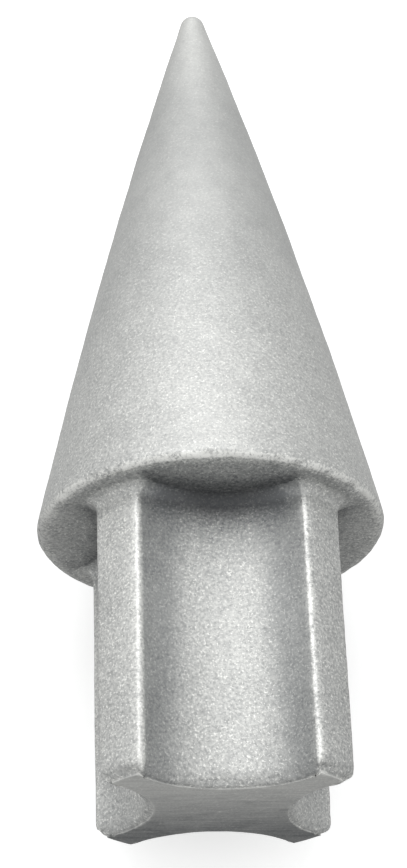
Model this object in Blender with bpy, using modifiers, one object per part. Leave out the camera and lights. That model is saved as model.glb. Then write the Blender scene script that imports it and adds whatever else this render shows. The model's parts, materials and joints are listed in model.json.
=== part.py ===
"""Conical bucket tooth with a fluted shank: one casting, lying with its tip towards +Y.

The origin is the centre of the shank's end face, and the tooth's axis is the Y axis.
Each shape is made with its axis along Z, and the finished object is then laid down.
"""
import math

import bmesh
import bpy
from mathutils import Vector

# Driving dimensions, in metres.
SHANK_LENGTH = 0.0596
CONE_LENGTH = 0.1434
TIP_RADIUS = 0.003
FLANK_RADIUS = 1.85

# The shank's section under the shoulder. The lobes lie on a circle, and a flute's depth is
# measured from the chord between its two ridges.
LOBE_DIAMETER = 0.0602
LOBE_WIDTH = 0.0116
FLUTE_DEPTH = 0.0055
RIDGE_ROUNDING = 0.0012
SHOULDER_FILLET = 0.0024

# Draft frees the casting from its mould. Towards the free end the lobe circle gets this
# much smaller and the flutes get this much deeper.
LOBE_DRAFT = 0.0005
FLUTE_DRAFT = 0.0042

# The edge of the end face is rounded, and there the ridges narrow to a smaller rounding.
END_ROUNDING = 0.0018
RIDGE_ROUNDING_END = 0.0004

# The shoulder stands out from the lobes by the wall of the socket that it seats on.
SHOULDER_WIDTH = 0.0068
RIM_DIAMETER = LOBE_DIAMETER + 2 * SHOULDER_WIDTH
RIM_ROUNDING = 0.0018

# How many faces each round shape is cut into.
FLUTES = 4
FLUTE_STEPS = 6
RIDGE_STEPS = 2
LOBE_STEPS = 3
ROUNDING_STEPS = 3
FLANK_STEPS = 6
TIP_STEPS = 4
SIDES = FLUTES * (FLUTE_STEPS + 2 * RIDGE_STEPS + LOBE_STEPS)

FULL_TURN = math.tau
HALF_TURN = math.pi
QUARTER_TURN = math.pi / 2
FLUTE_PITCH = FULL_TURN / FLUTES
MERGE_DISTANCE = 0.00001


def clear_scene():
    """Remove every object that the file opened with."""
    for item in list(bpy.data.objects):
        bpy.data.objects.remove(item, do_unlink=True)


def new_collection(name):
    """Make a collection in the scene."""
    collection = bpy.data.collections.new(name)
    bpy.context.scene.collection.children.link(collection)
    return collection


def cast_steel():
    """Light grey blasted steel."""
    material = bpy.data.materials.new("blasted_steel")
    material.use_nodes = True
    shader = material.node_tree.nodes["Principled BSDF"]
    shader.inputs["Base Color"].default_value = (0.60, 0.61, 0.60, 1.0)
    shader.inputs["Roughness"].default_value = 0.55
    shader.inputs["Metallic"].default_value = 0.85
    return material


def polar(radius, angle):
    """A point in a plane, from its distance and direction."""
    return Vector((radius * math.cos(angle), radius * math.sin(angle)))


def corner_angle(side_a, side_b, opposite):
    """Angle between two sides of a triangle, from the lengths of its three sides."""
    return math.acos((side_a ** 2 + side_b ** 2 - opposite ** 2) / (2 * side_a * side_b))


def arc(centre, radius, start, end, steps):
    """Points along an arc, from its start up to but not including its end."""
    return [centre + polar(radius, start + (end - start) * step / steps) for step in range(steps)]


def shank_outline(height, grow, rounding):
    """Outline of the shank at a height above its end face, grown outwards by an offset.

    Each flute is an arc, each lobe is an arc of the lobe circle, and a small arc of the
    given rounding joins them at the ridge. The arcs touch each other without corners.
    """
    share = 1 - height / SHANK_LENGTH
    lobe_radius = (LOBE_DIAMETER - LOBE_DRAFT * share) / 2
    depth = FLUTE_DEPTH + FLUTE_DRAFT * share
    half_flute_angle = FLUTE_PITCH / 2 - math.asin(LOBE_WIDTH / 2 / lobe_radius)
    ridge_line = polar(lobe_radius, half_flute_angle)

    # The flute's arc runs through both ridges and reaches its depth halfway between them.
    flute_radius = (ridge_line.y ** 2 + depth ** 2) / (2 * depth)
    flute_distance = ridge_line.x - depth + flute_radius
    lobe_radius += grow
    flute_radius -= grow

    # A ridge's rounding touches the lobe circle from inside and the flute from outside.
    ridge_distance = lobe_radius - rounding
    ridge_to_flute = flute_radius + rounding
    ridge_angle = corner_angle(ridge_distance, flute_distance, ridge_to_flute)
    flute_angle = corner_angle(ridge_to_flute, flute_distance, ridge_distance)
    next_ridge_angle = FLUTE_PITCH - ridge_angle

    axis = Vector((0, 0))
    points = arc(Vector((flute_distance, 0)), flute_radius,
                 HALF_TURN + flute_angle, HALF_TURN - flute_angle, FLUTE_STEPS)
    points += arc(polar(ridge_distance, ridge_angle), rounding,
                  -flute_angle, ridge_angle, RIDGE_STEPS)
    points += arc(axis, lobe_radius, ridge_angle, next_ridge_angle, LOBE_STEPS)
    points += arc(polar(ridge_distance, next_ridge_angle), rounding,
                  next_ridge_angle, FLUTE_PITCH + flute_angle, RIDGE_STEPS)

    outline = []
    for flute in range(FLUTES):
        turn = FLUTE_PITCH * flute
        for point in points:
            radius = point.length
            angle = math.atan2(point.y, point.x) + turn
            outline.append(polar(radius, angle).to_3d() + Vector((0, 0, height)))
    return outline


def shank_outlines():
    """Outlines from the flat end face, round its edge and up to the shoulder's fillet."""
    outlines = []
    for step in range(ROUNDING_STEPS + 1):
        angle = QUARTER_TURN * step / ROUNDING_STEPS
        height = END_ROUNDING * (1 - math.cos(angle))
        inset = END_ROUNDING * (1 - math.sin(angle))
        narrowing = (RIDGE_ROUNDING - RIDGE_ROUNDING_END) * inset / END_ROUNDING
        outlines.append(shank_outline(height, -inset, RIDGE_ROUNDING - narrowing))
    for step in range(ROUNDING_STEPS + 1):
        angle = QUARTER_TURN * step / ROUNDING_STEPS
        height = SHANK_LENGTH - SHOULDER_FILLET * (1 - math.sin(angle))
        spread = SHOULDER_FILLET * (1 - math.cos(angle))
        outlines.append(shank_outline(height, spread, RIDGE_ROUNDING + spread))
    return outlines


def add_shank(mesh):
    """Loft the shank through its outlines, with a flat end face, open at the shoulder."""
    rings = [[mesh.verts.new(point) for point in outline] for outline in shank_outlines()]
    mesh.faces.new(reversed(rings[0]))
    for lower, upper in zip(rings, rings[1:]):
        for side in range(SIDES):
            following = (side + 1) % SIDES
            mesh.faces.new((lower[side], lower[following], upper[following], upper[side]))


def point_profile():
    """Half outline of the point, from the tip down to the edge of the flat shoulder.

    The flank is a long arc that touches the tip's ball and the rim's rounding from outside,
    so the three arcs run smoothly into each other.
    """
    rim = Vector((RIM_DIAMETER / 2 - RIM_ROUNDING, SHANK_LENGTH + RIM_ROUNDING))
    tip = Vector((0, SHANK_LENGTH + CONE_LENGTH - TIP_RADIUS))
    tip_to_rim = rim - tip
    tip_reach = FLANK_RADIUS - TIP_RADIUS
    rim_reach = FLANK_RADIUS - RIM_ROUNDING
    chord_angle = math.atan2(tip_to_rim.y, tip_to_rim.x)
    swing = corner_angle(tip_reach, tip_to_rim.length, rim_reach)
    flank_centre = tip + polar(tip_reach, chord_angle - swing)
    tip_normal = chord_angle - swing + HALF_TURN
    rim_offset = rim - flank_centre
    rim_normal = math.atan2(rim_offset.y, rim_offset.x)

    points = arc(tip, TIP_RADIUS, QUARTER_TURN, tip_normal, TIP_STEPS)
    points += arc(flank_centre, FLANK_RADIUS, tip_normal, rim_normal, FLANK_STEPS)
    points += arc(rim, RIM_ROUNDING, rim_normal, -QUARTER_TURN, ROUNDING_STEPS)
    points.append(rim + polar(RIM_ROUNDING, -QUARTER_TURN))
    return points


def add_point(mesh, collection):
    """Turn the point's profile with a Screw modifier, open at the shoulder."""
    outline = [(point.x, 0, point.y) for point in point_profile()]
    edges = [(index, index + 1) for index in range(len(outline) - 1)]
    data = bpy.data.meshes.new("point_profile")
    data.from_pydata(outline, edges, [])
    profile = bpy.data.objects.new("point_profile", data)
    collection.objects.link(profile)

    screw = profile.modifiers.new("Turn", "SCREW")
    screw.axis = "Z"
    screw.angle = FULL_TURN
    screw.steps = SIDES
    screw.render_steps = SIDES
    screw.use_merge_vertices = True
    screw.merge_threshold = MERGE_DISTANCE

    depsgraph = bpy.context.evaluated_depsgraph_get()
    turned = bpy.data.meshes.new_from_object(profile.evaluated_get(depsgraph))
    mesh.from_mesh(turned)
    bpy.data.objects.remove(profile, do_unlink=True)
    bpy.data.meshes.remove(turned)


def make_tooth(collection, guides):
    """Shank and point as one closed body, joined by the flat ring of the shoulder."""
    mesh = bmesh.new()
    add_shank(mesh)
    add_point(mesh, guides)
    open_edges = [edge for edge in mesh.edges if edge.is_boundary]
    bmesh.ops.bridge_loops(mesh, edges=open_edges)
    bmesh.ops.recalc_face_normals(mesh, faces=mesh.faces)

    data = bpy.data.meshes.new("tooth")
    mesh.to_mesh(data)
    mesh.free()
    data.shade_smooth()
    data.set_sharp_from_angle(angle=math.radians(30))
    data.materials.append(cast_steel())

    tooth = bpy.data.objects.new("tooth", data)
    tooth.rotation_euler.x = -QUARTER_TURN
    collection.objects.link(tooth)
    return tooth


clear_scene()
make_tooth(new_collection("bucket_tooth"), new_collection("guides"))
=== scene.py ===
# %% [markdown]
# # A cast bucket tooth
#
# The tooth is one steel casting: a long cone with a blunt nose, a flat shoulder, and a
# short shank with four flutes that slides into a round socket. The CAD model gives its
# sizes and its place. This notebook gives it the skin of the real casting, which is made
# in a sand mould, blasted with grit and left bare.
#
# The first cell loads the CAD model. Its box and its two mounting faces say how long the
# tooth is, how wide its rim is and where the shank ends, so that the finer skin made
# below stands exactly where the CAD model does.

# %% Load the frame
import json
import math

import bpy
import numpy as np
from mathutils import Matrix, Vector, noise


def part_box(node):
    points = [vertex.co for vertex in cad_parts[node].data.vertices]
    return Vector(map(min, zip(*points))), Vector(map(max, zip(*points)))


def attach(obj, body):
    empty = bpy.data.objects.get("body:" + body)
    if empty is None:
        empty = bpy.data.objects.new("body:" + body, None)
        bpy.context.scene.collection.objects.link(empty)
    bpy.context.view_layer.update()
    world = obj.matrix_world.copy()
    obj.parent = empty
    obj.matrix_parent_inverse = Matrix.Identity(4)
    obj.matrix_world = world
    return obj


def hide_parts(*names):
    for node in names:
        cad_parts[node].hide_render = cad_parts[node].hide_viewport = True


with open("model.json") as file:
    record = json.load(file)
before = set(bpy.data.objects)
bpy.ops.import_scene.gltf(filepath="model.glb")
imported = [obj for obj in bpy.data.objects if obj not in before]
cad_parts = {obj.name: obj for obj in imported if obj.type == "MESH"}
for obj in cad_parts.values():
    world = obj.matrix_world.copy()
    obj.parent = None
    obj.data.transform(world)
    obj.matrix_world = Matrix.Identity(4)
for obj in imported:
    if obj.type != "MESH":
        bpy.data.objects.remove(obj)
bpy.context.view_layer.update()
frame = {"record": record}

low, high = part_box("tooth")
mounts = {mount["name"]: mount for mount in frame["record"]["mounts"]}
SHANK_LENGTH = mounts["shoulder_seat"]["pos_m"][1]
TOOTH_LENGTH = high.y
RIM_RADIUS = high.x
print(f"tooth {TOOTH_LENGTH * 1000:.1f} mm long, rim {RIM_RADIUS * 2000:.1f} mm across")
print(f"shank {SHANK_LENGTH * 1000:.1f} mm long")

# %% [markdown]
# ## The camera
#
# The tooth lies on its side, and the camera looks down on it from beyond the free end of
# the shank. It is close, about twice the tooth's length away, so the shank looks larger
# than its true share and the nose recedes. A camera can be placed with a Track To
# constraint, but three plain directions say the same thing without hidden state: where it
# looks, which way is right, and which way is up after a small roll.

# %% Place the camera
CAMERA_TARGET = Vector((-0.0008, 0.0849, 0.0))
CAMERA_DISTANCE = 0.4083
CAMERA_AZIMUTH = math.radians(-9.24)
CAMERA_ELEVATION = math.radians(60.60)
CAMERA_ROLL = math.radians(8.52)
CAMERA_LENS = 77.5
UPWARDS = Vector((0, 0, 1))


def look_direction(azimuth, elevation):
    """Where a camera looks. Azimuth 0 looks along +Y, and elevation is how far it looks down."""
    level = math.cos(elevation)
    return Vector((-math.sin(azimuth) * level, math.cos(azimuth) * level, -math.sin(elevation)))


def facing(forward, roll=0.0):
    """A rotation that points a camera or a lamp along a direction."""
    right = forward.cross(UPWARDS).normalized()
    up = right.cross(forward)
    rolled_right = right * math.cos(roll) + up * math.sin(roll)
    rolled_up = up * math.cos(roll) - right * math.sin(roll)
    return Matrix((rolled_right, rolled_up, -forward)).transposed()


def put(item, place, rotation):
    """Put a camera or a lamp in the scene."""
    item.matrix_world = Matrix.Translation(place) @ rotation.to_4x4()
    bpy.context.scene.collection.objects.link(item)


looking = look_direction(CAMERA_AZIMUTH, CAMERA_ELEVATION)
camera = bpy.data.objects.new("camera", bpy.data.cameras.new("camera"))
camera.data.lens = CAMERA_LENS
camera.data.clip_start = 0.01
put(camera, CAMERA_TARGET - looking * CAMERA_DISTANCE, facing(looking, CAMERA_ROLL))
bpy.context.scene.camera = camera
print("camera at", [round(value, 3) for value in camera.matrix_world.translation])

# %% [markdown]
# ## The shank's section
#
# The shank is round with a hollow flute along each of its four sides, which leaves four
# lobes. Seen from the end, each quarter of its outline is four arcs: the flute, a small
# rounding at the ridge, the lobe on the big circle, and the next ridge. A spline could
# copy that outline by eye. Arcs are chosen because a moulder's drawing is made of them,
# and because growing the outline for a fillet then only changes their radii.
#
# The flutes are deeper at the free end, which is the draft that lets the pattern out of
# the sand.

# %% Section sizes
LOBE_RADIUS = 0.0301
LOBE_RADIUS_END = 0.02985
LOBE_WIDTH = 0.0116
FLUTE_DEPTH = 0.0055
FLUTE_DEPTH_END = 0.0097
RIDGE_ROUNDING = 0.0012
RIDGE_ROUNDING_END = 0.0004
END_ROUNDING = 0.0018
SHOULDER_FILLET = 0.0024

FLUTES = 4
FLUTE_COLUMNS = 52
RIDGE_COLUMNS = 6
LOBE_COLUMNS = 16
QUARTER_COLUMNS = FLUTE_COLUMNS + 2 * RIDGE_COLUMNS + LOBE_COLUMNS
COLUMNS = FLUTES * QUARTER_COLUMNS
QUARTER_TURN = math.pi / 2
HALF_TURN = math.pi
FULL_TURN = math.tau
print(f"{COLUMNS} columns round the tooth")

# %% Arcs and triangles
def between(start, end, share):
    """The value at some share of the way between two values."""
    return start + (end - start) * share


def smooth(share):
    """Ease a share from 0 to 1, with no corner at either end."""
    share = np.clip(share, 0, 1)
    return share * share * (3 - 2 * share)


def corner_angle(side_a, side_b, opposite):
    """Angle between two sides of a triangle, from the lengths of its three sides."""
    return math.acos((side_a ** 2 + side_b ** 2 - opposite ** 2) / (2 * side_a * side_b))


def arc(centre, radius, start, end, steps):
    """Points along an arc, up to but not including its end."""
    angles = np.linspace(start, end, steps, endpoint=False)
    return np.stack([centre[0] + radius * np.cos(angles), centre[1] + radius * np.sin(angles)], 1)


# %% One outline of the shank
def shank_outline(height, grow, rounding):
    """Angle and radius of each point round the shank, at a height above its end face."""
    share = 1 - height / SHANK_LENGTH
    lobe = between(LOBE_RADIUS, LOBE_RADIUS_END, share)
    depth = between(FLUTE_DEPTH, FLUTE_DEPTH_END, share)
    half_flute = QUARTER_TURN / 2 - math.asin(LOBE_WIDTH / 2 / lobe)
    half_width = lobe * math.sin(half_flute)
    flute = (half_width ** 2 + depth ** 2) / (2 * depth)
    flute_distance = lobe * math.cos(half_flute) - depth + flute
    lobe += grow
    flute -= grow

    ridge_distance = lobe - rounding
    ridge = corner_angle(ridge_distance, flute_distance, flute + rounding)
    swing = corner_angle(flute + rounding, flute_distance, ridge_distance)
    far_ridge = QUARTER_TURN - ridge
    near_centre = (ridge_distance * math.cos(ridge), ridge_distance * math.sin(ridge))
    far_centre = near_centre[::-1]
    quarter = np.concatenate([
        arc((flute_distance, 0), flute, HALF_TURN + swing, HALF_TURN - swing, FLUTE_COLUMNS),
        arc(near_centre, rounding, -swing, ridge, RIDGE_COLUMNS),
        arc((0, 0), lobe, ridge, far_ridge, LOBE_COLUMNS),
        arc(far_centre, rounding, far_ridge, QUARTER_TURN + swing, RIDGE_COLUMNS),
    ])
    radii = np.tile(np.hypot(quarter[:, 0], quarter[:, 1]), FLUTES)
    angles = np.arctan2(quarter[:, 1], quarter[:, 0])
    turns = np.repeat(np.arange(FLUTES) * QUARTER_TURN, QUARTER_COLUMNS)
    return np.tile(angles, FLUTES) + turns, radii


flute_radius = shank_outline(SHANK_LENGTH, 0, RIDGE_ROUNDING)[1].min()
print(f"flute floor {flute_radius * 1000:.1f} mm from the axis under the shoulder")

# %% [markdown]
# ## The point's profile
#
# The point is turned on an axis, so one half outline describes it. It is not a straight
# cone: its flank bulges slightly, and it runs without a corner into the ball of the nose
# and into the small rounding of the rim. Three arcs that touch each other do that, and
# their centres follow from the sizes.

# %% Profile of the point
TIP_RADIUS = 0.003
RIM_ROUNDING = 0.0018
FLANK_RADIUS = 1.85
RIM_ROWS = 12
FLANK_ROWS = 136
TIP_ROWS = 10


def point_profile(rim_radius):
    """Half outline of the point, from the flat shoulder round the rim and up to the tip."""
    rim = np.array([rim_radius - RIM_ROUNDING, SHANK_LENGTH + RIM_ROUNDING])
    tip = np.array([0.0, TOOTH_LENGTH - TIP_RADIUS])
    across, along = rim - tip
    reach = FLANK_RADIUS - TIP_RADIUS
    rim_reach = FLANK_RADIUS - RIM_ROUNDING
    swing = corner_angle(reach, math.hypot(across, along), rim_reach)
    to_centre = math.atan2(along, across) - swing
    centre = tip + reach * np.array([math.cos(to_centre), math.sin(to_centre)])
    tip_normal = to_centre + HALF_TURN
    rim_normal = math.atan2(*(rim - centre)[::-1])
    return np.concatenate([
        arc(rim, RIM_ROUNDING, -QUARTER_TURN, rim_normal, RIM_ROWS),
        arc(centre, FLANK_RADIUS, rim_normal, tip_normal, FLANK_ROWS),
        arc(tip, TIP_RADIUS, tip_normal, QUARTER_TURN, TIP_ROWS),
    ])


profile = point_profile(RIM_RADIUS)
print(f"{len(profile)} rows on the point, widest {profile[:, 0].max() * 2000:.2f} mm")

# %% [markdown]
# ## The rows of the skin
#
# The whole casting is one closed net of rows and columns: the end face, the rounding of
# its edge, the shank, the fillet under the shoulder, the flat shoulder, the rim, the flank
# and the nose. Separate meshes joined with a Boolean would leave a seam where the real
# steel has none. A single net keeps the surface whole, and it also knows at every vertex
# which part of the tooth it is on, which the finish uses later.
#
# Each row is kept as angles, radii and heights. Under the shoulder the columns crowd
# together at the ridges, and up the cone they spread out evenly again.

# %% Gather the rows
END_FACE_ROWS = 24
END_ROWS = 8
SHANK_ROWS = 76
FILLET_ROWS = 8
SHOULDER_ROWS = 8
END_FACE, END_EDGE, SHANK, SHOULDER, RIM, FLANK = range(6)

rows = []


def add_row(part, angles, radii, heights):
    """Keep one row of the net and the part of the tooth it belongs to."""
    radii = np.broadcast_to(radii, COLUMNS)
    heights = np.broadcast_to(heights, COLUMNS)
    rows.append((part, angles, radii, heights))


def steps(start, end, count):
    """Even steps from the start up to but not including the end."""
    return np.linspace(start, end, count, endpoint=False)


even_angles = (np.arange(COLUMNS) - FLUTE_COLUMNS / 2) * FULL_TURN / COLUMNS
face_angles, face_radii = shank_outline(0, -END_ROUNDING, RIDGE_ROUNDING_END)
for share in np.sin(steps(0, QUARTER_TURN, END_FACE_ROWS)[1:]):
    spread = between(even_angles, face_angles, share ** 4)
    outline = np.interp(spread, face_angles, face_radii, period=FULL_TURN)
    add_row(END_FACE, spread, outline * share, 0)
for angle in steps(0, QUARTER_TURN, END_ROWS):
    height = END_ROUNDING * (1 - math.cos(angle))
    inset = END_ROUNDING * (1 - math.sin(angle))
    rounding = between(RIDGE_ROUNDING, RIDGE_ROUNDING_END, inset / END_ROUNDING)
    add_row(END_EDGE, *shank_outline(height, -inset, rounding), height)
print(f"{len(rows)} rows on the end face and its edge")

# %% Rows of the shank and the shoulder
for height in steps(END_ROUNDING, SHANK_LENGTH - SHOULDER_FILLET, SHANK_ROWS):
    add_row(SHANK, *shank_outline(height, 0, RIDGE_ROUNDING), height)
for angle in steps(0, QUARTER_TURN, FILLET_ROWS):
    height = SHANK_LENGTH - SHOULDER_FILLET * (1 - math.sin(angle))
    spread = SHOULDER_FILLET * (1 - math.cos(angle))
    add_row(SHANK, *shank_outline(height, spread, RIDGE_ROUNDING + spread), height)

fillet_rounding = RIDGE_ROUNDING + SHOULDER_FILLET
inner_angles, inner_radii = shank_outline(SHANK_LENGTH, SHOULDER_FILLET, fillet_rounding)
for share in steps(0, 1, SHOULDER_ROWS):
    spread = between(inner_angles, even_angles, smooth(share))
    add_row(SHOULDER, spread, between(inner_radii, profile[0, 0], share), SHANK_LENGTH)
print(f"{len(rows)} rows up to the rim")

# %% Rows of the point
for index, (radius, height) in enumerate(profile):
    add_row(RIM if index < RIM_ROWS else FLANK, even_angles, radius, height)

row_part = np.array([row[0] for row in rows])
angles = np.array([row[1] for row in rows])
radii = np.array([row[2] for row in rows])
heights = np.array([row[3] for row in rows])
print(f"{len(rows)} rows, {2 * len(rows) * COLUMNS} triangles")

# %% [markdown]
# ## The net becomes a mesh
#
# The rows are joined by quads, and the first and last rows are closed to a point on the
# axis. bmesh could add these faces one at a time. With ninety thousand of them it is
# quicker to work out all the corner numbers at once and hand them to the mesh.

# %% Build the mesh
def net_mesh(name, angles, radii, heights):
    """A closed mesh from rows of points round the Y axis."""
    count, columns = angles.shape
    ring_points = np.stack([radii * np.cos(angles), heights, radii * np.sin(angles)], 2)
    foot = (0, heights[0, 0], 0)
    tip = (0, TOOTH_LENGTH, 0)
    points = [tuple(point) for point in ring_points.reshape(-1, 3)] + [foot, tip]
    foot_index = count * columns
    tip_index = foot_index + 1

    here = np.arange(columns)
    following = (here + 1) % columns
    faces = []
    for row in range(count - 1):
        lower = row * columns
        upper = lower + columns
        quads = np.stack([lower + here, upper + here, upper + following, lower + following], 1)
        faces.extend(quads.tolist())
    last = (count - 1) * columns
    pairs = list(zip(here.tolist(), following.tolist()))
    faces.extend([[foot_index, a, b] for a, b in pairs])
    faces.extend([[last + b, last + a, tip_index] for a, b in pairs])

    mesh = bpy.data.meshes.new(name)
    mesh.from_pydata(points, [], faces)
    mesh.validate()
    mesh.update()
    return mesh


skin_mesh = net_mesh("tooth_skin", angles, radii, heights)
print(f"{len(skin_mesh.vertices)} vertices, {len(skin_mesh.polygons)} faces")

# %% Read the points
def read_points(mesh, collection, name):
    """One vector for each vertex, as an array."""
    values = np.empty(len(mesh.vertices) * 3, np.float32)
    getattr(mesh, collection).foreach_get(name, values)
    return values.reshape(-1, 3).astype(float)


points = read_points(skin_mesh, "vertices", "co")
row_of = np.append(np.repeat(np.arange(len(rows)), COLUMNS), [0, len(rows) - 1])
column_of = np.append(np.tile(np.arange(COLUMNS), len(rows)), [0, 0])
part_of = row_part[row_of]
print(f"{len(points)} points, the last two on the axis")

# %% [markdown]
# ## Rounder ends on the lobes
#
# The outlines above round the whole edge of the end face alike. On the casting the ends
# of the four lobes have lost more. A larger rounding in the outlines would eat into the
# flutes as well. Instead, every point that lies beyond a larger rounding is drawn back
# onto it, which only takes metal away.

# %% Round the lobe ends
LOBE_END_ROUNDING = 0.0028
NOT_ZERO = 1e-9


def round_lobe_ends(points):
    """Points beyond the rounding of the lobes' ends, brought back onto it."""
    radii = np.hypot(points[:, 0], points[:, 2])
    centre_radius = LOBE_RADIUS_END - LOBE_END_ROUNDING
    out = radii - centre_radius
    back = LOBE_END_ROUNDING - points[:, 1]
    reach = np.hypot(out, back)
    beyond = (out > 0) & (back > 0) & (reach > LOBE_END_ROUNDING)
    share = np.where(beyond, LOBE_END_ROUNDING / np.maximum(reach, LOBE_END_ROUNDING), 1.0)
    new_radii = np.where(beyond, centre_radius + out * share, radii)
    scale = new_radii / np.maximum(radii, NOT_ZERO)
    heights = np.where(beyond, LOBE_END_ROUNDING - back * share, points[:, 1])
    return np.stack([points[:, 0] * scale, heights, points[:, 2] * scale], 1)


points = round_lobe_ends(points)
skin_mesh.vertices.foreach_set("co", points.astype(np.float32).ravel())
skin_mesh.update()
normals = read_points(skin_mesh, "vertex_normals", "vector")
outward = (normals * points * [1, 0, 1]).sum(1)[part_of == FLANK].mean()
print("normals point", "out" if outward > 0 else "in")

# %% [markdown]
# ## Where the casting is worn, and where light is painted on it
#
# Grit and handling polish the corners that stand proud, and sand packs less well into
# them, so they come out slightly ragged. On this tooth those are the eight ridges of the
# flutes, the rim, and the edge of the end face. Blender's Pointiness finds such places,
# but its reach depends on the mesh. Here each vertex already knows its row and column, so
# the distance to the nearest corner is simply counted.
#
# Each map is one number for each vertex. The ridges' brightness is partly wear and partly
# painted highlight: it is stronger on the upper side, where the light falls, than on the
# lower, and on the left ridges it is spread over a wider band, but less sharply, than on
# the right. The lobes next to the upper ridges get painted light as well.

# %% Two ways to fade
def nearness(distance, reach):
    """1 at a place, falling smoothly to 0 further away."""
    return np.exp(-(distance / reach) ** 2)


def rise(value, start, end):
    """0 below the start, 1 above the end, and a smooth rise between them."""
    return smooth((value - start) / (end - start))


across, along, up = points.T
axis_distance = np.hypot(across, up)
on_shank = (part_of == SHANK) | (part_of == END_EDGE)
quarter_column = column_of % QUARTER_COLUMNS
print(f"{int(on_shank.sum())} points on the shank and the edge of its end")

# %% Distance to the nearest ridge
NO_RIDGE = 1.0
ridge_middles = [FLUTE_COLUMNS + RIDGE_COLUMNS / 2, QUARTER_COLUMNS - RIDGE_COLUMNS / 2]
ridge_distance = np.full(len(points), NO_RIDGE)
for row in np.unique(row_of[on_shank]):
    chosen = np.flatnonzero(row_of[:-2] == row)
    ring = points[chosen]
    for flute in range(FLUTES):
        for middle in ridge_middles:
            corner = ring[int(flute * QUARTER_COLUMNS + middle)]
            away = np.linalg.norm(ring - corner, axis=1)
            ridge_distance[chosen] = np.minimum(ridge_distance[chosen], away)
print(f"nearest ridge at most {ridge_distance[on_shank].max() * 1000:.1f} mm away")

# %% Wear and painted highlight on the ridges, and painted light on the lobes
RIDGE_REACH = 0.0013
RIDGE_REACH_LEFT = 0.0017
LEFT_WEAR_AND_HIGHLIGHT = 0.50
LOWER_SIDE_SHARE = 0.35
LOBE_REACH = 0.0055
SHOULDER_CLEARANCE = 0.006
UPPER_SIDE = (0.016, 0.021)
LEFT_SIDE = (-0.005, 0.005)

# Painted light on the lobes: lighter on the left and duller on the right, as the light falls.
# Below zero, a lobe is painted a little duller than the rest of the skin.
RIGHT_LOBE_LIGHT = -0.4

shoulder_clear = rise(SHANK_LENGTH - along, 0, SHOULDER_CLEARANCE)
upper_side = between(LOWER_SIDE_SHARE, 1.0, rise(up, *UPPER_SIDE))
left_side = rise(-across, *LEFT_SIDE)
ridge_reach = between(RIDGE_REACH, RIDGE_REACH_LEFT, left_side)
# The ridges' band is partly wear and partly painted highlight, stronger on the upper side where
# the light falls.
worn_and_lit_places = on_shank * shoulder_clear * upper_side
ridge_wear_and_highlight = nearness(ridge_distance, ridge_reach) * worn_and_lit_places
ridge_wear_and_highlight *= between(1.0, LEFT_WEAR_AND_HIGHLIGHT, left_side)
on_lobe = quarter_column >= FLUTE_COLUMNS
# Painted light on the lobes beside the upper ridges.
lobe_glow = np.exp(-ridge_distance / LOBE_REACH) * on_lobe * worn_and_lit_places
lobe_glow *= between(RIGHT_LOBE_LIGHT, 1.0, left_side)
print(f"{int((ridge_wear_and_highlight > 0.5).sum())} vertices on the ridges")

# %% Rim and end edge
RIM_REACH = 0.0009
RIM_LINE = RIM_ROUNDING * 0.12
EDGE_REACH = 0.0012
EDGE_LINE = END_ROUNDING * 0.5
LINE_REACH = 0.0004


def outline_at(outline_angles, outline_radii):
    """How far an outline is from the axis, in the direction of each point."""
    around = np.interp(angles, outline_angles, outline_radii, period=FULL_TURN)
    return np.append(around.ravel(), [0, 0])


on_point = (part_of == RIM) | (part_of == FLANK)
# The band along the rim is partly wear and partly painted highlight.
rim_wear_and_highlight = nearness(along - (SHANK_LENGTH + RIM_LINE), RIM_REACH) * on_point
end_edge = nearness(along - EDGE_LINE, EDGE_REACH) * on_shank
end_face = np.where(part_of == END_FACE, 1.0, 0.0)
from_face_edge = axis_distance - outline_at(face_angles, face_radii)
face_line = nearness(from_face_edge, LINE_REACH) * (along < END_ROUNDING)
print(f"{int((rim_wear_and_highlight > 0.5).sum())} vertices on the rim")
print(f"{int(end_face.sum())} vertices on the end face")

# %% [markdown]
# ## Painted shade under the shoulder
#
# Where a flute runs in under the shoulder, little light gets in, and the shade there is
# painted into the skin's colour. The painted shade reaches furthest down in the middle of
# the flute and is short beside the ridges, so it looks like a V. It also covers the ring of
# the shoulder above the flute, and the rest of the upper ring is painted darker where it
# faces back, away from the light. The renderer finds some of this shade by itself, and the
# map paints more of it.

# %% Painted shade in the flutes
RECESS_SHARE = 0.66
RECESS_REACH = 0.0084
RECESS_REACH_EDGE = 0.0034
RECESS_AT_RIDGES = 0.62
CREASE_REACH = 0.0022
CREASE_HEIGHT = SHOULDER_FILLET * 0.6
FLUTE_BLEND = FLUTE_DEPTH * 0.8
LOBE_MARGIN = 0.0006
FLUTE_MIDDLE = 0.12
FLUTE_SIDE = 0.92

flute_share = np.abs((quarter_column + 0.5) / FLUTE_COLUMNS * 2 - 1)
in_middle = 1 - rise(flute_share, FLUTE_MIDDLE, FLUTE_SIDE)
in_flute_depth = rise(LOBE_RADIUS - LOBE_MARGIN - axis_distance, 0, FLUTE_BLEND)
below_fillet = SHANK_LENGTH - SHOULDER_FILLET - along
recess_reach = between(RECESS_REACH_EDGE, RECESS_REACH, in_middle)
broad_shade = nearness(below_fillet, recess_reach)
crease = nearness(below_fillet + CREASE_HEIGHT, CREASE_REACH)
# Painted shade: a narrow crease at the foot of the fillet and a broader band below it, deepest in
# the middle of the flute.
flute_painted_shade = in_flute_depth * between(crease, broad_shade, RECESS_SHARE)
flute_painted_shade *= between(RECESS_AT_RIDGES, 1.0, in_middle)
print(f"{int((flute_painted_shade * (part_of == SHANK) > 0.4).sum())} vertices in the recess")

# %% Painted shade on the shoulder, and a painted highlight on the lip of the rim
RING_REACH = 0.0070
PAINTED_RING_SHADE = 0.32
FACING_BACK = (0.88, 0.98)
TURNING_BACK = (0.05, 0.50)
UPPER_RING = (0.010, 0.026)
UPPER_RIM = (0.0, 0.020)

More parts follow.
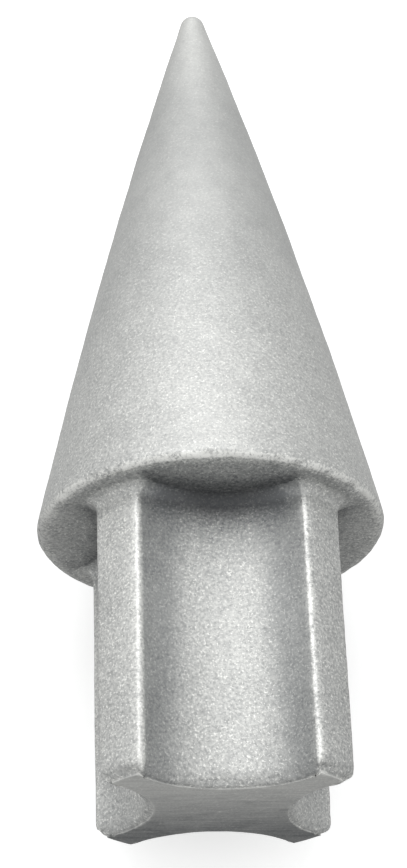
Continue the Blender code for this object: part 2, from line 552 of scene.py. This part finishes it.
ring_inner = outline_at(inner_angles, inner_radii)
above_flute = rise(LOBE_RADIUS + SHOULDER_FILLET - ring_inner, 0, FLUTE_BLEND)
ring_painted_shade = above_flute * RECESS_SHARE * nearness(axis_distance - ring_inner, RING_REACH)
# The upper ring is painted darker where it faces back, away from the light.
facing_back = rise(-normals[:, 1], *FACING_BACK)
ring_back_painted_shade = PAINTED_RING_SHADE * facing_back * rise(up, *UPPER_RING) * (1 - ring_painted_shade)
recess = flute_painted_shade * (part_of == SHANK)
recess = np.where(part_of == SHOULDER, ring_painted_shade + ring_back_painted_shade, recess)
recess = np.where(part_of == RIM, ring_back_painted_shade, recess)
# A painted highlight on the upper part of the rim's rounding, where it turns away from the light.
rim_lip = rise(-normals[:, 1], *TURNING_BACK) * (1 - facing_back) * rise(up, *UPPER_RIM)
rim_lip *= part_of == RIM
print(f"{int((rim_lip > 0.5).sum())} vertices on the lip")

# %% Calmer grain and painted shade on the flanks of the flutes
FLANK_SHARE = (0.28, 0.70)
in_flute = (quarter_column < FLUTE_COLUMNS) & on_shank
# The flanks of the upper flutes, hidden from the light by the lobes, get painted shade and a
# calmer grain.
flank = rise(flute_share, *FLANK_SHARE) * in_flute * upper_side
print(f"{int((flank > 0.5).sum())} vertices on the flanks")

# %% [markdown]
# ## The shape of the casting skin
#
# No sand casting is quite true. Long low swells come from the mould, finer ripples from
# the sand, and the corners are a little ragged. The grain of the blasting itself is finer
# than the net and is left to the material. Displacement textures could do this. Moving the
# vertices in code keeps every amount in metres, and every move is inwards, so that the
# skin never grows past the outer sizes that the CAD model gives.

# %% Noise on the surface
SEED_STEP = (17.3, 5.9, 11.1)
NOISE_GAIN = 0.9
SWELL_SIZE = 0.013
RIPPLE_SIZE = 0.0032
CHIP_SIZE = 0.0021
LUMP_SIZE = 0.0060


def wandering(points, wavelength, seed):
    """Smooth noise between 0 and 1 at each point, with features of about one wavelength."""
    shift = Vector([seed * step for step in SEED_STEP])
    raw = [noise.noise(Vector(point) + shift) for point in points / wavelength]
    return np.clip(np.array(raw) * NOISE_GAIN + 0.5, 0, 1)


swells = wandering(points, SWELL_SIZE, 1)
ripples = wandering(points, RIPPLE_SIZE, 2)
chips = wandering(points, CHIP_SIZE, 3)
lumps = wandering(points, LUMP_SIZE, 4)
print(f"swells from {swells.min():.2f} to {swells.max():.2f}")

# %% How deep the skin lies
SWELL = 0.00014
RIPPLE = 0.00006
RAGGED_RIM = 0.00030
RAGGED_RIDGE = 0.00022
RAGGED_EDGE = 0.00070
RIM_CHIPS = 0.65
EDGE_CHIPS = 0.5
depth = SWELL * swells + RIPPLE * ripples
depth += RAGGED_RIM * rim_wear_and_highlight * between(lumps, chips, RIM_CHIPS)
depth += RAGGED_RIDGE * ridge_wear_and_highlight * chips
depth += RAGGED_EDGE * end_edge * between(lumps, chips, EDGE_CHIPS)
print(f"skin moved inwards by {depth.min() * 1000:.2f} to {depth.max() * 1000:.2f} mm")

# %% Small nicks
NICKS = 26
NICK_DEPTH = 0.00035
NICK_REACH = 0.0011
NICK_SIZES = (0.5, 1.0)
ON_RIM = 0.6
ON_RIDGE = 0.7
ON_EDGE = 0.8
drawing = np.random.default_rng(12)
on_corner = (rim_wear_and_highlight > ON_RIM) | (ridge_wear_and_highlight > ON_RIDGE) | (end_edge > ON_EDGE)
places = np.flatnonzero(on_corner)
for nicked in drawing.choice(places, NICKS, replace=False):
    size = drawing.uniform(*NICK_SIZES)
    away = np.linalg.norm(points - points[nicked], axis=1)
    depth += NICK_DEPTH * size * nearness(away, NICK_REACH * size)
print(f"{NICKS} nicks on the corners")

# %% Move the skin
TIP_CLEARANCE = 0.010
near_tip = rise(TOOTH_LENGTH - along, 0, TIP_CLEARANCE)
moved = points - normals * (depth * near_tip)[:, None]
moved = np.clip(moved, low, high)
skin_mesh.vertices.foreach_set("co", moved.astype(np.float32).ravel())
skin_mesh.update()
skin_mesh.shade_smooth()
print(f"skin spans {(np.ptp(moved, axis=0) * 1000).round(1)} mm")


# %% Keep the maps and place the skin
def keep_map(mesh, name, values):
    """Store one number for each vertex, which the material can read by name."""
    layer = mesh.attributes.new(name, "FLOAT", "POINT")
    layer.data.foreach_set("value", values.astype(np.float32))


# The recess, flank, rim lip and lobe maps paint shade and light into the colour; the corner map is
# partly wear and partly painted highlight.
keep_map(skin_mesh, "corner_wear", np.clip(ridge_wear_and_highlight + rim_wear_and_highlight, 0, 1))
keep_map(skin_mesh, "end_face", end_face)
keep_map(skin_mesh, "recess", recess)
keep_map(skin_mesh, "flank", flank)
keep_map(skin_mesh, "rim_lip", rim_lip)
keep_map(skin_mesh, "lobe_glow", lobe_glow)
keep_map(skin_mesh, "face_line", face_line)
skin = bpy.data.objects.new("tooth_skin", skin_mesh)
bpy.context.scene.collection.objects.link(skin)
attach(skin, "root")
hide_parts("tooth")
print("skin rides on the root body and stands for the CAD tooth")

# %% [markdown]
# ## Writing shader maths as Python
#
# A shader is a network of nodes, which is slow to read. Two small classes make it read as
# arithmetic. A `Value` wraps the socket of a node, and `+`, `-` and `*` on it add the Math
# nodes. `Finish.node` adds any other node: its settings are set first, because some
# of them change which sockets the node has, and then its sockets get numbers or links.

# %% Values and finishes
class Value:
    """One number that varies over a surface."""

    def __init__(self, finish, socket):
        self.finish = finish
        self.socket = socket

    def maths(self, operation, first, second):
        added = self.finish.node("ShaderNodeMath", {"operation": operation}, {0: first, 1: second})
        return Value(self.finish, added.outputs[0])

    def __add__(self, other):
        return self.maths("ADD", self, other)

    def __radd__(self, other):
        return self.maths("ADD", other, self)

    def __sub__(self, other):
        return self.maths("SUBTRACT", self, other)

    def __rsub__(self, other):
        return self.maths("SUBTRACT", other, self)

    def __mul__(self, other):
        return self.maths("MULTIPLY", self, other)

    def __rmul__(self, other):
        return self.maths("MULTIPLY", other, self)


class Finish:
    """The nodes of a material or of the room, with one method that adds to them."""

    def __init__(self, owner, shader):
        owner.use_nodes = True
        self.owner = owner
        self.tree = owner.node_tree
        self.shader = self.tree.nodes[shader]

    def node(self, kind, settings=None, values=None):
        added = self.tree.nodes.new(kind)
        for name, setting in (settings or {}).items():
            setattr(added, name, setting)
        for name, value in (values or {}).items():
            self.give(added.inputs[name], value)
        return added

    def give(self, socket, value):
        """Link a value to a socket, or set the socket to a plain number or colour."""
        if isinstance(value, Value):
            self.tree.links.new(value.socket, socket)
        else:
            socket.default_value = value

    def value(self, kind, output, settings=None, values=None):
        """Add a node and wrap one of its outputs."""
        return Value(self, self.node(kind, settings, values).outputs[output])


# %% Helpers for surfaces
def surface_map(finish, name):
    """A number stored on the mesh."""
    return finish.value("ShaderNodeAttribute", "Fac", {"attribute_name": name})


def cloudy(finish, place, size, detail=2.0, roughness=0.5):
    """Soft noise from 0 to 1 with features of about a size in metres."""
    values = {"Vector": place, "Scale": 1 / size, "Detail": detail, "Roughness": roughness}
    return finish.value("ShaderNodeTexNoise", "Fac", {}, values)


def ramp(finish, value, start, end):
    """0 below the start, 1 above the end, and a smooth rise between them."""
    settings = {"interpolation_type": "SMOOTHSTEP"}
    values = {"Value": value, "From Min": start, "From Max": end}
    return finish.value("ShaderNodeMapRange", "Result", settings, values)


def blend_colours(finish, share, first, second):
    """A colour between two others."""
    mixer = finish.node("ShaderNodeMix", {"data_type": "RGBA"})
    sockets = {socket.identifier: socket for socket in mixer.inputs}
    finish.give(sockets["Factor_Float"], share)
    finish.give(sockets["A_Color"], first)
    finish.give(sockets["B_Color"], second)
    result = next(socket for socket in mixer.outputs if socket.identifier == "Result_Color")
    return Value(finish, result)


# %% [markdown]
# ## Blasted steel
#
# The casting is bare steel struck all over by grit, so it is light grey and matt, with a
# grain of about half a millimetre in which single facets catch the light. The grain is
# coarse on the shank, calmer on the cone, and fades towards the nose, which is rubbed
# bright at its very end. The end face is smoother, lighter at the top and darker towards
# the bottom, with a faint lay of scratches across it.
#
# A painted image of the grain would stretch over the cone and show a seam. Noise in the
# tooth's own space does neither, and it has the same size everywhere.

# %% Grain and clouds
GRAIN_SIZE = 0.00060
SPARKLE_SIZE = 0.00042
SPARKLE_CUT = (0.56, 0.72)
CLOUD_SIZE = 0.0052
PATCH_SIZE = 0.021

steel = Finish(bpy.data.materials.new("blasted_steel"), "Principled BSDF")
place_node = steel.node("ShaderNodeTexCoord")
place = Value(steel, place_node.outputs["Object"])
forward = steel.value("ShaderNodeSeparateXYZ", "Y", {}, {"Vector": place})
rising = steel.value("ShaderNodeSeparateXYZ", "Z", {}, {"Vector": place})
grain = cloudy(steel, place, GRAIN_SIZE, 2.0, 0.6)
sparkle = ramp(steel, cloudy(steel, place, SPARKLE_SIZE, 1.0, 0.5), *SPARKLE_CUT)
clouds = cloudy(steel, place, CLOUD_SIZE, 3.0, 0.6)
patches = cloudy(steel, place, PATCH_SIZE, 2.0, 0.5)
print(f"grain of {GRAIN_SIZE * 1000:.2f} mm")

# %% Read the maps
# Some of these maps paint shade and light into the colour, and the corner map is partly wear and
# partly painted highlight.
wear_and_highlight_map = surface_map(steel, "corner_wear")
face_map = surface_map(steel, "end_face")
recess_shade_map = surface_map(steel, "recess")
flank_calm_and_shade_map = surface_map(steel, "flank")
lip_highlight_map = surface_map(steel, "rim_lip")
lobe_light_map = surface_map(steel, "lobe_glow")
line_map = surface_map(steel, "face_line")
print("seven maps read")

# %% Where the grain is strong
FADE_TO_NOSE = (SHANK_LENGTH + 0.020, SHANK_LENGTH + 0.090)
CONE_START = (SHANK_LENGTH, SHANK_LENGTH + 0.004)
NOSE_END = (TOOTH_LENGTH - 0.040, TOOTH_LENGTH - 0.008)
NOSE_GRAIN = 0.35
FACE_GRAIN = 0.35
FLANK_CALM = 0.45
CONE_CALM = 0.28

towards_nose = ramp(steel, forward, *FADE_TO_NOSE)
on_cone = ramp(steel, forward, *CONE_START)
nose_glow = ramp(steel, forward, *NOSE_END)
strength = (1 - towards_nose * (1 - NOSE_GRAIN)) * (1 - face_map * (1 - FACE_GRAIN))
strength = strength * (1 - flank_calm_and_shade_map * FLANK_CALM) * (1 - on_cone * CONE_CALM)
print(f"grain fades from {FADE_TO_NOSE[0] * 1000:.0f} mm to {FADE_TO_NOSE[1] * 1000:.0f} mm")

# %% Patchy wear and patchy painted highlights
WEAR_CUT = (0.30, 0.62)
LINE_CUT = (0.36, 0.60)
LIP_CUT = (0.28, 0.66)
# Partly wear and partly painted highlight on the ridges and the rim.
worn_and_highlit = wear_and_highlight_map * ramp(steel, clouds * 0.5 + grain * 0.5, *WEAR_CUT)
broken_line = line_map * ramp(steel, clouds, *LINE_CUT)
# A patchy painted highlight on the lip of the rim.
patchy_lip_highlight = lip_highlight_map * ramp(steel, clouds * 0.6 + grain * 0.4, *LIP_CUT)
print("wear broken up by the clouds and the grain")

# %% Scratches on the end face, and its darkening towards the bottom
SCRATCH_LENGTH = 0.012
SCRATCH_WIDTH = 0.0008
SMUDGE_LENGTH = 0.008
SMUDGE_WIDTH = 0.0022
SMUDGE_CUT = (0.5, 0.75)
DARKER_BELOW_FALL = (-0.019, 0.020)


def drawn_out(length, width, detail, roughness):
    """Noise stretched across the end face."""
    scale = (1 / length, 1.0, 1 / width)
    stretched = steel.value("ShaderNodeMapping", "Vector", {}, {"Vector": place, "Scale": scale})
    return cloudy(steel, stretched, 1.0, detail, roughness)


scratches = drawn_out(SCRATCH_LENGTH, SCRATCH_WIDTH, 2.0, 0.5)
smudges = ramp(steel, drawn_out(SMUDGE_LENGTH, SMUDGE_WIDTH, 3.0, 0.6), *SMUDGE_CUT)
# The end face gets darker towards the bottom.
darker_below = ramp(steel, -1 * rising, *DARKER_BELOW_FALL)
print(f"scratches {SCRATCH_LENGTH * 1000:.0f} mm long")

# %% [markdown]
# ## From dark steel to light steel
#
# All of it comes together in one number, the shade, that goes from dark steel at 0 to
# light steel at 1. Each line below adds or takes away one cause. Mixing a colour for each
# cause would need a dozen mixers, and their order would matter.

# %% Shade
BASE_SHADE = 0.478
GRAIN_SHADE = 1.10
SPARKLE_SHADE = 0.42
CLOUD_SHADE = 0.16
PATCH_SHADE = 0.14
WEAR_AND_HIGHLIGHT_SHADE = 0.25
CONE_SHADE = 0.05
NOSE_SHADE = 0.15
PAINTED_RECESS_SHADE = 0.40
PAINTED_FLANK_SHADE = 0.25
PAINTED_LOBE_LIGHT = 0.10
PAINTED_LIP_HIGHLIGHT = 0.44
LINE_SHADE = 0.22
FACE_SHADE = 0.34
DARKER_BELOW_SHADE = 0.74
SCRATCH_SHADE = 0.45
SMUDGE_SHADE = 0.16

shade = BASE_SHADE + (grain - 0.5) * strength * GRAIN_SHADE
shade = shade + sparkle * strength * SPARKLE_SHADE
shade = shade + (clouds - 0.5) * CLOUD_SHADE + (patches - 0.5) * PATCH_SHADE
# The corner map adds partly wear and partly painted highlight.
shade = shade + worn_and_highlit * WEAR_AND_HIGHLIGHT_SHADE - towards_nose * CONE_SHADE + nose_glow * NOSE_SHADE
# Painted shade under the shoulder and on the upper flanks of the flutes.
shade = shade - recess_shade_map * PAINTED_RECESS_SHADE - flank_calm_and_shade_map * PAINTED_FLANK_SHADE
# Painted light on the lobes, and a painted highlight on the lip of the rim.
shade = shade + lobe_light_map * PAINTED_LOBE_LIGHT + patchy_lip_highlight * PAINTED_LIP_HIGHLIGHT + broken_line * LINE_SHADE
# The end face is lighter at the top and darker towards the bottom.
shade = shade + face_map * FACE_SHADE - face_map * darker_below * DARKER_BELOW_SHADE
shade = shade + (scratches - 0.5) * face_map * SCRATCH_SHADE - smudges * face_map * SMUDGE_SHADE
print(f"shade starts at {BASE_SHADE}")

# %% Colour
DARK_STEEL = (0.22, 0.228, 0.235, 1.0)
LIGHT_STEEL = (0.966, 0.966, 0.936, 1.0)
# A near-black colour painted into the crease under the shoulder, as shade.
PAINTED_CREASE_SHADE = (0.07, 0.072, 0.076, 1.0)
CREASE_CUT = (0.35, 1.05)
CREASE_SHARE = 0.9

skin_colour = blend_colours(steel, shade, DARK_STEEL, LIGHT_STEEL)
# Where the painted shade under the shoulder is deepest, the skin turns near-black.
crease_shade_share = ramp(steel, recess_shade_map, *CREASE_CUT) * CREASE_SHARE
skin_colour = blend_colours(steel, crease_shade_share, skin_colour, PAINTED_CREASE_SHADE)
steel.give(steel.shader.inputs["Base Color"], skin_colour)
print("steel coloured")

# %% Gloss and relief
METALNESS = 0.85
BASE_ROUGHNESS = 0.56
GRAIN_ROUGHNESS = 0.20
WEAR_POLISH = 0.12
FACE_POLISH = 0.08
SPARKLE_HEIGHT = 0.5
SCRATCH_HEIGHT = 0.4
RELIEF_STRENGTH = 0.55
RELIEF_DEPTH = 0.00012

roughness = BASE_ROUGHNESS + (grain - 0.5) * GRAIN_ROUGHNESS
roughness = roughness - worn_and_highlit * WEAR_POLISH - face_map * FACE_POLISH
steel.give(steel.shader.inputs["Roughness"], roughness)
steel.give(steel.shader.inputs["Metallic"], METALNESS)

relief = grain * strength + sparkle * strength * SPARKLE_HEIGHT
relief = relief + scratches * face_map * SCRATCH_HEIGHT
bump = steel.value("ShaderNodeBump", "Normal", {}, {
    "Strength": RELIEF_STRENGTH,
    "Distance": RELIEF_DEPTH,
    "Height": relief,
})
steel.give(steel.shader.inputs["Normal"], bump)
skin_mesh.materials.append(steel.owner)
print(f"{len(steel.tree.nodes)} nodes in the steel")

# %% [markdown]
# ## The floor
#
# A plain pale sheet lies under the tooth, and the rim touches it. It is far larger than
# the view, so that its edge lies close to the horizon. It glows slightly, so that it is
# plain white round the tooth and keeps only a faint shadow. The steel doesn't see it,
# neither mirrored nor as bounced light. The room's dim lower half lights the tooth from
# below instead, which keeps that light even.

# %% Lay the floor
FLOOR_HALF = 40.0
PAPER_WHITE = (0.93, 0.93, 0.93, 1.0)
PAPER_GLOW = 0.38

floor_mesh = bpy.data.meshes.new("floor")
corners = [(-1, -1), (1, -1), (1, 1), (-1, 1)]
floor_points = [(x * FLOOR_HALF, y * FLOOR_HALF, low.z) for x, y in corners]
floor_mesh.from_pydata(floor_points, [], [(0, 1, 2, 3)])
floor = bpy.data.objects.new("floor", floor_mesh)
bpy.context.scene.collection.objects.link(floor)
paper = Finish(bpy.data.materials.new("pale_paper"), "Principled BSDF")
paper.give(paper.shader.inputs["Base Color"], PAPER_WHITE)
paper.give(paper.shader.inputs["Roughness"], 0.9)
paper.give(paper.shader.inputs["Specular IOR Level"], 0.1)
paper.give(paper.shader.inputs["Emission Color"], (1.0, 1.0, 1.0, 1.0))
paper.give(paper.shader.inputs["Emission Strength"], PAPER_GLOW)
floor_mesh.materials.append(paper.owner)
floor.visible_glossy = False
floor.visible_diffuse = False
print(f"floor at {low.z * 1000:.1f} mm")

# %% [markdown]
# ## Soft studio light
#
# One large soft lamp hangs over the nose, a little to the left. A second, much weaker one
# stands low on the left and lifts that side of the cone. The room is bright above and dim
# below. Steel shows mostly what it reflects, so the room matters as much as the lamps:
# its bright top lights everything that faces up, and its dim bottom keeps the shoulder
# and the end face dark. An image of a studio could light the tooth too, but one gradient
# does it with no file.

# %% Room
BRIGHT_SIDE = Vector((-0.10, 0.36, 0.92)).normalized()
ROOM_TINT = (0.992, 0.998, 0.996, 1.0)

# The room's light far from the bright side, and what two soft steps add towards it.
ROOM_LOW = 0.31
ROOM_MIDDLE = 0.315
ROOM_HIGH = 0.36
MIDDLE_STEP = (-1.0, -0.15)
HIGH_STEP = (0.0, 0.95)

room = Finish(bpy.data.worlds.new("room"), "Background")
towards = room.node("ShaderNodeTexCoord")
towards_light = room.value("ShaderNodeVectorMath", "Value", {"operation": "DOT_PRODUCT"}, {
    0: Value(room, towards.outputs["Generated"]),
    1: BRIGHT_SIDE,
})
room_level = ROOM_LOW + ramp(room, towards_light, *MIDDLE_STEP) * ROOM_MIDDLE
room_level = room_level + ramp(room, towards_light, *HIGH_STEP) * ROOM_HIGH
room.give(room.shader.inputs["Color"], ROOM_TINT)
room.give(room.shader.inputs["Strength"], room_level)
bpy.context.scene.world = room.owner
print("room made")

# %% Lamps
LAMP_SIZE = 0.55
LAMP_DISTANCE = 0.75
LAMPS_AIM = Vector((0, 0.1, 0))
LAMP_POWER = 1.7
LAMP_DIRECTION = Vector((-0.17, 0.50, 0.85)).normalized()
SIDE_POWER = 0.14
SIDE_DIRECTION = Vector((-0.86, 0.40, 0.32)).normalized()


def soft_lamp(name, direction, power):
    """A square soft lamp at the lamps' distance in some direction."""
    data = bpy.data.lights.new(name, "AREA")
    data.shape = "SQUARE"
    data.size = LAMP_SIZE
    data.energy = power
    lamp = bpy.data.objects.new(name, data)
    put(lamp, LAMPS_AIM + direction * LAMP_DISTANCE, facing(-direction))
    print(name, "lamp at", [round(value, 2) for value in lamp.matrix_world.translation])


soft_lamp("overhead", LAMP_DIRECTION, LAMP_POWER)
soft_lamp("side", SIDE_DIRECTION, SIDE_POWER)
bpy.context.scene.view_settings.view_transform = "Standard"
